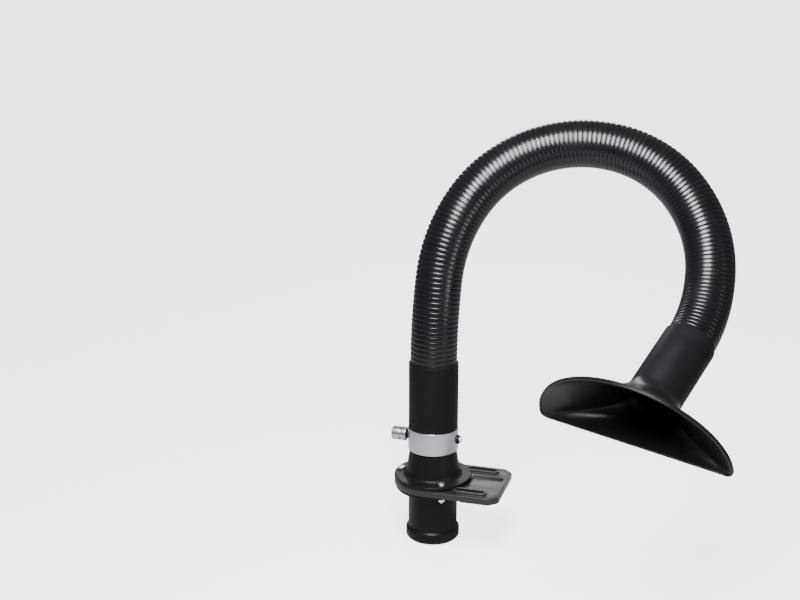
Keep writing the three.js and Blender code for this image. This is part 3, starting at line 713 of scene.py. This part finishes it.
retainer_profile = [
    (0, RETAINER_END, 0),
    (RETAINER_SHANK, RETAINER_END, RETAINER_EDGE),
    (RETAINER_SHANK, RETAINER_SEAT, 0),
    (RETAINER_RADIUS, RETAINER_SEAT, RETAINER_EDGE),
    (RETAINER_RADIUS, RETAINER_TOP, RETAINER_DOME),
    (0, RETAINER_TOP, 0),
]
retainer = placed_piece(
    "retainer",
    turned(retainer_profile, SMALL_STEPS),
    zinc_plate,
    ["shaft_retainer"],
    ALONG_SHAFT,
)
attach(retainer, "flap")
sheet_steel = bare_metal(
    "sheet steel", STEEL, smooth=0.3, rough=0.5, lines=(900, 900, 40), depth=0.02
)


def painted_nodes(material, *names):
    """Gives CAD pieces that show as they are their own material."""
    for name in names:
        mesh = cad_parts[name].data
        mesh.materials.clear()
        mesh.materials.append(material)


painted_nodes(sheet_steel, "flap_disc", "flap_shaft")
painted_nodes(zinc_plate, "flap_screw_1", "flap_screw_2", "knob_grub_screw")

# Rubber cuffs
# Soft black rubber sleeves. The base cuff grips the ring's plug and the end cuff the hood's plug,
# each with a seal ring inside, and the hose is glued into their other ends.
CUFF_RADIUS = 30
CUFF_PLUG_BORE = 27.3
CUFF_HOSE_BORE = 28.5
CUFF_BOTTOM = 74.5
BASE_CUFF_LENGTH = 82
BASE_CUFF_STEP = 26.2
END_CUFF_LENGTH = 85
END_CUFF_STEP = 40.3
CUFF_PLUG_LIP = 0.4
CUFF_PLUG_EDGE = 1
CUFF_HOSE_EDGE = 1.1
CUFF_HOSE_LIP = 0.3
HOSE_START = CUFF_BOTTOM + BASE_CUFF_LENGTH
HOSE_TURN = -10.5
STRETCH_LENGTH = 99.9
STRETCH_BENDS = [
    (-0.6, 15.1),
    (23.8, 16.8),
    (33.6, 11.9),
    (36, 7.1),
    (41.3, 5.3),
    (36.6, -2.4),
    (26.7, -13.9),
]
HOSE_LENGTH = STRETCH_LENGTH * len(STRETCH_BENDS)
RUBBER_BLACK = (0.004, 0.0041, 0.0048)
RUBBER_SHINE = 0.08


def bent_on(place, turn, bend, side, share):
    """The hose's place and turn after a share of one stretch, which is a single arc."""
    length = STRETCH_LENGTH * share
    angle = math.radians(math.hypot(bend, side)) * share
    toward = Vector((bend, side, 0)).normalized()
    radius = length / angle
    step = toward * radius * (1 - math.cos(angle)) + Vector((0, 0, radius * math.sin(angle)))
    axis = Vector((-toward.y, toward.x, 0))
    return place + turn @ step, turn @ Quaternion(axis, angle)


def hose_frame(length):
    """The hose's place and turn at a length from the base cuff's upper end; straight past its ends."""
    place = Vector((0, 0, HOSE_START))
    turn = Quaternion((0, 0, 1), math.radians(HOSE_TURN))
    left = min(length, 0)
    if length > 0:
        left = length
        for bend, side in STRETCH_BENDS:
            share = min(left / STRETCH_LENGTH, 1)
            if share > 0:
                place, turn = bent_on(place, turn, bend, side, share)
            left -= share * STRETCH_LENGTH
    return place + turn @ Vector((0, 0, left)), turn


def cuff_mesh(length, step):
    """A sleeve from its plug end, with a narrow bore for the plug and a wider one for the hose."""
    profile = [
        (CUFF_PLUG_BORE, 0, CUFF_PLUG_LIP),
        (CUFF_RADIUS, 0, CUFF_PLUG_EDGE),
        (CUFF_RADIUS, length, CUFF_HOSE_EDGE),
        (CUFF_HOSE_BORE, length, CUFF_HOSE_LIP),
        (CUFF_HOSE_BORE, step, 0),
        (CUFF_PLUG_BORE, step, 0),
    ]
    return turned(profile)


soft_rubber = coated(
    "soft black rubber",
    RUBBER_BLACK,
    RUBBER_SHINE,
    smooth=0.46,
    rough=0.58,
    grain=900.0,
    depth=0.04,
    dust=0.01,
)
base_cuff = placed_piece(
    "lower_cuff",
    cuff_mesh(BASE_CUFF_LENGTH, BASE_CUFF_STEP),
    soft_rubber,
    ["base_cuff"],
    Matrix.Translation((PIPE_X, 0, CUFF_BOTTOM)),
)
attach(base_cuff, "arm_0")
end_place, end_turn = hose_frame(HOSE_LENGTH + END_CUFF_LENGTH)
end_place.x += PIPE_X
HOSE_END = Matrix.Translation(end_place) @ end_turn.to_matrix().to_4x4()
end_cuff = placed_piece(
    "upper_cuff",
    cuff_mesh(END_CUFF_LENGTH, END_CUFF_STEP),
    soft_rubber,
    ["end_cuff"],
    HOSE_END @ TURNED_END,
)
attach(end_cuff, "arm_7")
painted_nodes(soft_rubber, "base_seal_ring", "hood_seal_ring")

# Ribbed hose
# A glossy black corrugated plastic hose, stiff enough to stay where it is pushed. It is one length;
# here each arc is built as a piece of its own.
HOSE_RADIUS = 28.2
RIB_DEPTH = 0.9
RIB_HALF_WIDTH = 2.5
RIB_SQUARENESS = 0.5
RIBS_PER_STRETCH = 18
RIBS_IN_CUFF = 3
HOSE_SIDES = 72
RIB_STEPS = 14
BLEND_INSET = 14
HOSE_BLACK = (0.002, 0.0022, 0.0032)
HOSE_SHINE = 0.35
RIB_PITCH = STRETCH_LENGTH / RIBS_PER_STRETCH
HOSE_VALLEY = HOSE_RADIUS - RIB_DEPTH
HOSE_BORE = 24


def ribbed_hose_tree():
    """A tube and its bore along the seed's edges, with a rib square to the way at each mark."""
    inputs = [
        ("Rib", "NodeSocketObject"),
        ("Tube Radius", "NodeSocketFloat"),
        ("Bore Radius", "NodeSocketFloat"),
        ("Sides", "NodeSocketInt"),
        ("Material", "NodeSocketMaterial"),
    ]
    tree, start, end = new_geometry_tree("ribbed hose", inputs)
    way = tree.nodes.new("GeometryNodeMeshToCurve")
    tree.links.new(start.outputs["Geometry"], way.inputs["Mesh"])
    walls = []
    for label in ("Tube Radius", "Bore Radius"):
        circle = tree.nodes.new("GeometryNodeCurvePrimitiveCircle")
        tree.links.new(start.outputs["Sides"], circle.inputs["Resolution"])
        tree.links.new(start.outputs[label], circle.inputs["Radius"])
        wall = tree.nodes.new("GeometryNodeCurveToMesh")
        tree.links.new(way.outputs["Curve"], wall.inputs["Curve"])
        tree.links.new(circle.outputs["Curve"], wall.inputs["Profile Curve"])
        walls.append(wall.outputs["Mesh"])
    tube, bore = walls
    facing_in = tree.nodes.new("GeometryNodeFlipFaces")
    tree.links.new(bore, facing_in.inputs["Mesh"])
    marked = tree.nodes.new("GeometryNodeInputNamedAttribute")
    marked.data_type = "BOOLEAN"
    marked.inputs["Name"].default_value = "rib"
    way_on = tree.nodes.new("GeometryNodeInputNamedAttribute")
    way_on.data_type = "FLOAT_VECTOR"
    way_on.inputs["Name"].default_value = "way"
    square = tree.nodes.new("FunctionNodeAlignRotationToVector")
    square.axis = "Z"
    tree.links.new(way_on.outputs["Attribute"], square.inputs["Vector"])
    rib = tree.nodes.new("GeometryNodeObjectInfo")
    tree.links.new(start.outputs["Rib"], rib.inputs["Object"])
    ribs = tree.nodes.new("GeometryNodeInstanceOnPoints")
    tree.links.new(start.outputs["Geometry"], ribs.inputs["Points"])
    tree.links.new(marked.outputs["Attribute"], ribs.inputs["Selection"])
    tree.links.new(rib.outputs["Geometry"], ribs.inputs["Instance"])
    tree.links.new(square.outputs["Rotation"], ribs.inputs["Rotation"])
    whole = tree.nodes.new("GeometryNodeJoinGeometry")
    tree.links.new(tube, whole.inputs["Geometry"])
    tree.links.new(facing_in.outputs["Mesh"], whole.inputs["Geometry"])
    tree.links.new(ribs.outputs["Instances"], whole.inputs["Geometry"])
    finished_end(tree, whole.outputs["Geometry"], start.outputs["Material"], end)
    return tree


def rib_mesh():
    """One rib: a ring with a flattened oval section, sunk to its middle in the tube."""
    section = []
    for step in range(RIB_STEPS):
        turn = 2 * math.pi * (step + 0.5) / RIB_STEPS
        out = math.copysign(abs(math.cos(turn)) ** RIB_SQUARENESS, math.cos(turn))
        along = math.copysign(abs(math.sin(turn)) ** RIB_SQUARENESS, math.sin(turn))
        section.append((HOSE_VALLEY + RIB_DEPTH * out, RIB_HALF_WIDTH * along, 0))
    return turned(section, HOSE_SIDES)


def hose_seed(first_rib, last_rib):
    """Points along the hose, two to a rib, each with its way and a mark where a rib stands."""
    halves = range(2 * first_rib, 2 * last_rib + 1)
    frames = [hose_frame(half * RIB_PITCH / 2) for half in halves]
    mesh = bpy.data.meshes.new("seed")
    edges = [(index, index + 1) for index in range(len(frames) - 1)]
    mesh.from_pydata([place for place, _ in frames], edges, [])
    way = mesh.attributes.new("way", "FLOAT_VECTOR", "POINT")
    mark = mesh.attributes.new("rib", "BOOLEAN", "POINT")
    for index, (half, (_, turn)) in enumerate(zip(halves, frames)):
        way.data[index].vector = turn @ Vector((0, 0, 1))
        mark.data[index].value = half % 2 == 0 and half < 2 * last_rib
    return mesh


def ends_closed(mesh, first_rib, last_rib):
    """The mesh of a tube and its bore, with their rims joined at both ends."""
    work = bmesh.new()
    work.from_mesh(mesh)
    for rib_number, outward in ((first_rib, -1), (last_rib, 1)):
        place, turn = hose_frame(rib_number * RIB_PITCH)
        open_edges = [edge for edge in work.edges if edge.is_boundary]
        rims = [edge for edge in open_edges if (edge.verts[0].co - place).length < HOSE_RADIUS]
        band = bmesh.ops.bridge_loops(work, edges=rims)["faces"]
        band[0].normal_update()
        if band[0].normal.dot(turn @ Vector((0, 0, outward))) < 0:
            bmesh.ops.reverse_faces(work, faces=band)
    work.to_mesh(mesh)
    work.free()
    return mesh


hose_plastic = coated(
    "glossy black hose",
    HOSE_BLACK,
    HOSE_SHINE,
    smooth=0.22,
    rough=0.3,
    grain=600.0,
    depth=0.03,
    dust=0.008,
)
ribbed_hose = ribbed_hose_tree()
rib = shown(rib_mesh())
for stretch in range(len(STRETCH_BENDS)):
    first_rib = stretch * RIBS_PER_STRETCH
    last_rib = first_rib + RIBS_PER_STRETCH
    hidden = ["hose_section_" + str(stretch), "hose_flex_" + str(stretch + 1)]
    if stretch == 0:
        first_rib -= RIBS_IN_CUFF
    if stretch == len(STRETCH_BENDS) - 1:
        last_rib += RIBS_IN_CUFF
        hidden.append("hose_section_" + str(stretch + 1))
    mesh = grown(
        ribbed_hose,
        hose_seed(first_rib, last_rib),
        Rib=rib,
        Tube_Radius=HOSE_VALLEY,
        Bore_Radius=HOSE_BORE,
        Sides=HOSE_SIDES,
        Material=hose_plastic,
    )
    mesh = ends_closed(mesh, first_rib, last_rib)
    name = "hose_arc_" + str(stretch + 1)
    length = placed_piece(name, mesh, hose_plastic, hidden)
    ends = [stretch * STRETCH_LENGTH + BLEND_INSET, (stretch + 1) * STRETCH_LENGTH - BLEND_INSET]
    start, end = [(hose_frame(along)[0] + Vector((PIPE_X, 0, 0))) * METRES for along in ends]
    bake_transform(length)
bpy.data.objects.remove(rib)

# Hood
# A black moulded hood that opens from a round neck to a half-round mouth with a flat lower edge.
# Its plug turns in the end cuff, so the flat edge can be set level with the work.
HOOD_ROLL = 201.7
HOOD_START = 0.3
HOOD_FLARE = 52
HOOD_RIM = 56.3
HOOD_WALL = 2.5
HOOD_PLUG = -40
RIM_ROUNDING = 0.9
MOUTH_WIDTH = 223
MOUTH_HEIGHT = 92
MOUTH_DROP = 20.5
MOUTH_CORNER = 8
HOOD_SIDES = 176
HOOD_STEPS = 28
HOOD_THROAT_STEPS = 3
HOOD_RIM_STEPS = 2
HOOD_SLOPE_STEP = 0.02
LEAST_LENGTH = 1e-9
HOOD_BLACK = (0.004, 0.0041, 0.0048)
HOOD_SHINE = 0.2


def evenly_round(outline, count):
    """Points evenly spread along a closed outline, from its first point."""
    closed = [Vector(point) for point in outline] + [Vector(outline[0])]
    lengths = [0.0]
    for before, after in zip(closed, closed[1:]):
        lengths.append(lengths[-1] + (after - before).length)
    points = []
    edge = 0
    for index in range(count):
        along = lengths[-1] * index / count
        while lengths[edge + 1] < along:
            edge += 1
        share = (along - lengths[edge]) / max(lengths[edge + 1] - lengths[edge], LEAST_LENGTH)
        points.append(closed[edge].lerp(closed[edge + 1], share))
    return points


def mouth_points(inset):
    """Points round the mouth from the middle of its flat edge, moved inwards."""
    half = MOUTH_WIDTH / 2 - inset
    corner = MOUTH_CORNER - inset
    floor = inset - MOUTH_DROP
    shoulder = floor + corner
    crown = MOUTH_HEIGHT - MOUTH_DROP - inset - shoulder
    outline = [(0, floor)]
    outline += arc(half - corner, shoulder, corner, -90, 0)
    outline += [(half * x, shoulder + crown * y) for x, y in arc(0, 0, 1, 0, 180, 4 * ARC_STEPS)]
    outline += arc(corner - half, shoulder, corner, 180, 270)
    return evenly_round(outline, HOOD_SIDES)


def circle_points(radius):
    """Points on a circle from its lowest point."""
    return [Vector(point) for point in arc(0, 0, radius, -90, 270, HOOD_SIDES)[:-1]]


def hood_mesh():
    """The hood's closed skin, up the outside from the plug, over the rim and back down the inside."""
    neck = circle_points(CUFF_RADIUS)
    mouth = mouth_points(0)

    def level(points, height):
        return [Vector((point.x, point.y, height)) for point in points]

    def outside(share):
        opened = 1 - math.cos(share * math.pi / 2)
        points = [near.lerp(wide, opened) for near, wide in zip(neck, mouth)]
        return level(points, HOOD_START + share * HOOD_FLARE)

    def inside(share):
        here = outside(share)
        below = outside(share - HOOD_SLOPE_STEP)
        above = outside(share + HOOD_SLOPE_STEP)
        ring = []
        for index, point in enumerate(here):
            around = here[(index + 1) % HOOD_SIDES] - here[index - 1]
            inward = (above[index] - below[index]).cross(around).normalized()
            ring.append(point + inward * HOOD_WALL)
        return ring

    shares = [step / HOOD_STEPS for step in range(1, HOOD_STEPS + 1)]
    rings = [
        level(circle_points(AIR_BORE), HOOD_PLUG),
        level(circle_points(PLUG_RADIUS), HOOD_PLUG),
        level(circle_points(PLUG_RADIUS), HOOD_START),
        level(neck, HOOD_START),
    ]
    rings += [outside(share) for share in shares]
    for quarter in (0, 1):
        for step in range(FILLET_STEPS + 1):
            turn = math.pi / 2 * (quarter + step / FILLET_STEPS)
            middle = RIM_ROUNDING if quarter == 0 else HOOD_WALL - RIM_ROUNDING
            inset = middle - RIM_ROUNDING * math.cos(turn)
            height = HOOD_RIM - RIM_ROUNDING + RIM_ROUNDING * math.sin(turn)
            rings.append(level(mouth_points(inset), height))
    rings.append(level(mouth_points(HOOD_WALL), HOOD_START + HOOD_FLARE + HOOD_WALL))
    rings += [inside(share) for share in reversed(shares[HOOD_THROAT_STEPS:-HOOD_RIM_STEPS])]
    rings.append(level(circle_points(AIR_BORE), HOOD_START + HOOD_WALL))
    corners = [corner for ring in rings for corner in ring]
    faces = []
    for ring in range(len(rings)):
        here = ring * HOOD_SIDES
        there = (ring + 1) % len(rings) * HOOD_SIDES
        for index in range(HOOD_SIDES):
            after = (index + 1) % HOOD_SIDES
            faces.append((here + index, here + after, there + after, there + index))
    mesh = bpy.data.meshes.new("hood")
    mesh.from_pydata(corners, [], faces)
    return mesh


hood_plastic = coated(
    "black hood plastic",
    HOOD_BLACK,
    HOOD_SHINE,
    smooth=0.25,
    rough=0.36,
    grain=1800.0,
    depth=0.025,
    dust=0.006,
)
hood_place = HOSE_END @ Matrix.Rotation(math.radians(HOOD_ROLL), 4, "Z")
hood = placed_piece("hood_shell", hood_mesh(), hood_plastic, ["hood"], hood_place)
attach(hood, "hood")

# Studio
# A pale floor under the outlet, whose glow only the camera sees, so that no piece mirrors the glow,
# with three soft boxes and a camera that looks as the photograph does. Its sizes are in metres.
FLOOR_HEIGHT = -0.0706
FLOOR_SIZE = 120
CAMERA_PLACE = (0.3390, -1.4258, 0.6575)
CAMERA_TILT = 74
CAMERA_TURN = 17
CAMERA_LENS = 58.5
CAMERA_SENSOR = 36
FLOOR_WHITE = (0.86, 0.86, 0.86)
FLOOR_GREY = (0.55, 0.55, 0.55)
FLOOR_GLOW = 3.5
FLOOR_ROUGHNESS = 0.9
LAMP_COLOUR = (0.93, 0.95, 1.0)
LAMP_AIM = (0.08, 0, 0.25)
WORLD_STRENGTH = 0.25

bpy.ops.mesh.primitive_plane_add(size=FLOOR_SIZE, location=(0, 0, FLOOR_HEIGHT))
floor = bpy.context.object
floor.name = "floor"
floor_paint = bpy.data.materials.new("pale floor")
floor_paint.use_nodes = True
floor_tree = floor_paint.node_tree
floor_shader = floor_tree.nodes["Principled BSDF"]
floor_shader.inputs["Base Color"].default_value = (*FLOOR_GREY, 1)
floor_shader.inputs["Roughness"].default_value = FLOOR_ROUGHNESS
floor_shader.inputs["Emission Color"].default_value = (*FLOOR_WHITE, 1)
seen_straight = floor_tree.nodes.new("ShaderNodeLightPath").outputs["Is Camera Ray"]
glow = floor_tree.nodes.new("ShaderNodeMath")
glow.operation = "MULTIPLY"
glow.inputs[1].default_value = FLOOR_GLOW
floor_tree.links.new(seen_straight, glow.inputs[0])
floor_tree.links.new(glow.outputs["Value"], floor_shader.inputs["Emission Strength"])
floor.data.materials.append(floor_paint)


def soft_box(name, place, size, power):
    """An area light aimed at the arm's middle, and not itself in the picture."""
    lamp = bpy.data.lights.new(name, "AREA")
    lamp.shape = "RECTANGLE"
    lamp.size, lamp.size_y = size
    lamp.energy = power
    lamp.color = LAMP_COLOUR
    made = bpy.data.objects.new(name, lamp)
    made.location = place
    made.rotation_euler = (Vector(LAMP_AIM) - Vector(place)).to_track_quat("-Z", "Y").to_euler()
    made.visible_camera = False
    bpy.context.scene.collection.objects.link(made)


soft_box("key box", place=(0.05, -0.55, 0.98), size=(0.4, 0.65), power=42)
soft_box("right box", place=(1.3, -0.6, 0.35), size=(0.4, 0.4), power=5)
soft_box("back box", place=(-0.35, 1.6, 0.8), size=(0.9, 0.4), power=8)
world = bpy.data.worlds.new("studio")
world.use_nodes = True
background = world.node_tree.nodes["Background"]
background.inputs["Color"].default_value = (1, 1, 1, 1)
background.inputs["Strength"].default_value = WORLD_STRENGTH
bpy.context.scene.world = world
camera_data = bpy.data.cameras.new("camera")
camera_data.lens = CAMERA_LENS
camera_data.sensor_width = CAMERA_SENSOR
camera = bpy.data.objects.new("camera", camera_data)
camera.location = CAMERA_PLACE
camera.rotation_euler = (math.radians(CAMERA_TILT), 0, math.radians(CAMERA_TURN))
bpy.context.scene.collection.objects.link(camera)
bpy.context.scene.camera = camera
